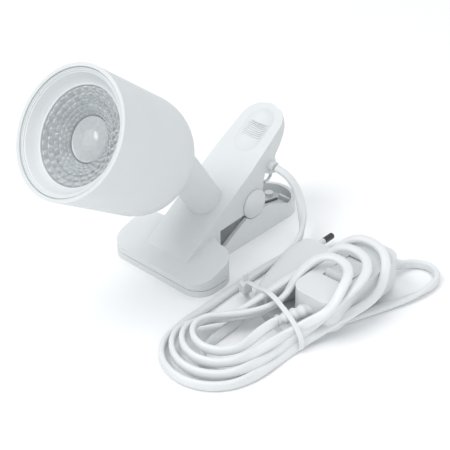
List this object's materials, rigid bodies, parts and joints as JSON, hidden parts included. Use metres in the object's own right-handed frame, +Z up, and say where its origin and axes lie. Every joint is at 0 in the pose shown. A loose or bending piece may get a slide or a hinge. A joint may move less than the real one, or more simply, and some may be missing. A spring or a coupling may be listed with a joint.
{
  "type": "clip on reading lamp",
  "caption": "White clip-on reading lamp with a bell-shaped shade on a swivelling stem, a spring clamp, an in-line switch and a flat plug on a tied cord.",
  "frame": {"origin": "on the table straight below the pivot pin, on the clamp's middle plane", "axes": "+X across the clamp along the pivot pin, towards the cord; +Y from the jaws to the handles; +Z up from the table the lower lever lies on"},
  "size_m": [0.1625, 0.1921, 0.1458],
  "materials": {
    "white_plastic": "fine moulded texture",
    "gloss_white": "smooth moulded",
    "rocker_plastic": "smooth moulded, dished",
    "pad_rubber": "soft, matt",
    "zinc_steel": "zinc plated",
    "spring_steel": "drawn wire, oiled",
    "lens_clear": "clear moulded, facetted",
    "board_white": "white solder mask",
    "board_green": "green solder mask",
    "capacitor_sleeve": "shrink sleeve",
    "phosphor": "silicone over the diodes",
    "aluminium_cast": "die cast",
    "pin_brass": "nickel plated",
    "cord_pvc": "smooth soft sheath",
    "tie_nylon": "moulded",
    "terminal_nylon": "moulded"
  },
  "bodies": {
    "lower": {"lower_lever": "white_plastic", "lower_pad": "pad_rubber", "pivot_pin": "zinc_steel", "pivot_cap_right": "white_plastic", "pivot_cap_left": "white_plastic", "torsion_spring": "spring_steel", "cord_free": "cord_pvc", "cord_hank": "cord_pvc", "cable_tie": "tie_nylon", "plug_body": "gloss_white", "plug_relief": "gloss_white", "pin_sleeves": "gloss_white", "plug_pins": "pin_brass", "switch_base": "gloss_white", "switch_top": "gloss_white", "rocker_axle": "zinc_steel", "switch_screws": "zinc_steel"},
    "upper": {"upper_lever": "white_plastic", "upper_pad": "pad_rubber", "wiring_cover": "white_plastic", "cover_screws": "zinc_steel", "terminal_block": "terminal_nylon", "cord_gland": "white_plastic", "cord_hook": "white_plastic", "stem_washer": "zinc_steel"},
    "neck": {"stem": "white_plastic", "stem_circlip": "zinc_steel", "stem_wires": "cord_pvc"},
    "head": {"shade": "white_plastic", "front_ring": "white_plastic", "lens": "lens_clear", "lens_disc": "lens_clear", "lens_holder": "white_plastic", "led_board": "board_white", "led_chip": "phosphor", "heat_sink": "aluminium_cast", "driver_board": "board_green", "driver_capacitor": "capacitor_sleeve", "tilt_bracket": "zinc_steel", "bracket_screws": "zinc_steel", "hinge_bolt": "zinc_steel", "hinge_nut": "zinc_steel", "friction_washers": "zinc_steel"},
    "rocker": {"switch_rocker": "rocker_plastic"}
  },
  "joints": [
    {"name": "clip_open", "type": "hinge", "parent": "lower", "child": "upper", "pos_m": [0, 0, 0.025], "axis": [-1, 0, 0], "range_deg": [0, 38], "stiffness_Nm_per_rad": 1.2, "springref_deg": -28.65, "deforming": ["torsion_spring", "cord_free"]},
    {"name": "neck_swivel", "type": "hinge", "parent": "upper", "child": "neck", "pos_m": [0, -0.02548, 0.03327], "axis": [0, -0.5424, 0.8401], "range_deg": [-160, 160]},
    {"name": "head_tilt", "type": "hinge", "parent": "neck", "child": "head", "pos_m": [0, -0.05586, 0.08032], "axis": [1, 0, 0], "range_deg": [-21, 45]},
    {"name": "switch_rock", "type": "hinge", "parent": "lower", "child": "rocker", "pos_m": [0.0997, -0.0158, 0.0185], "axis": [1, 0, 0], "range_deg": [0, 16]}
  ]
}
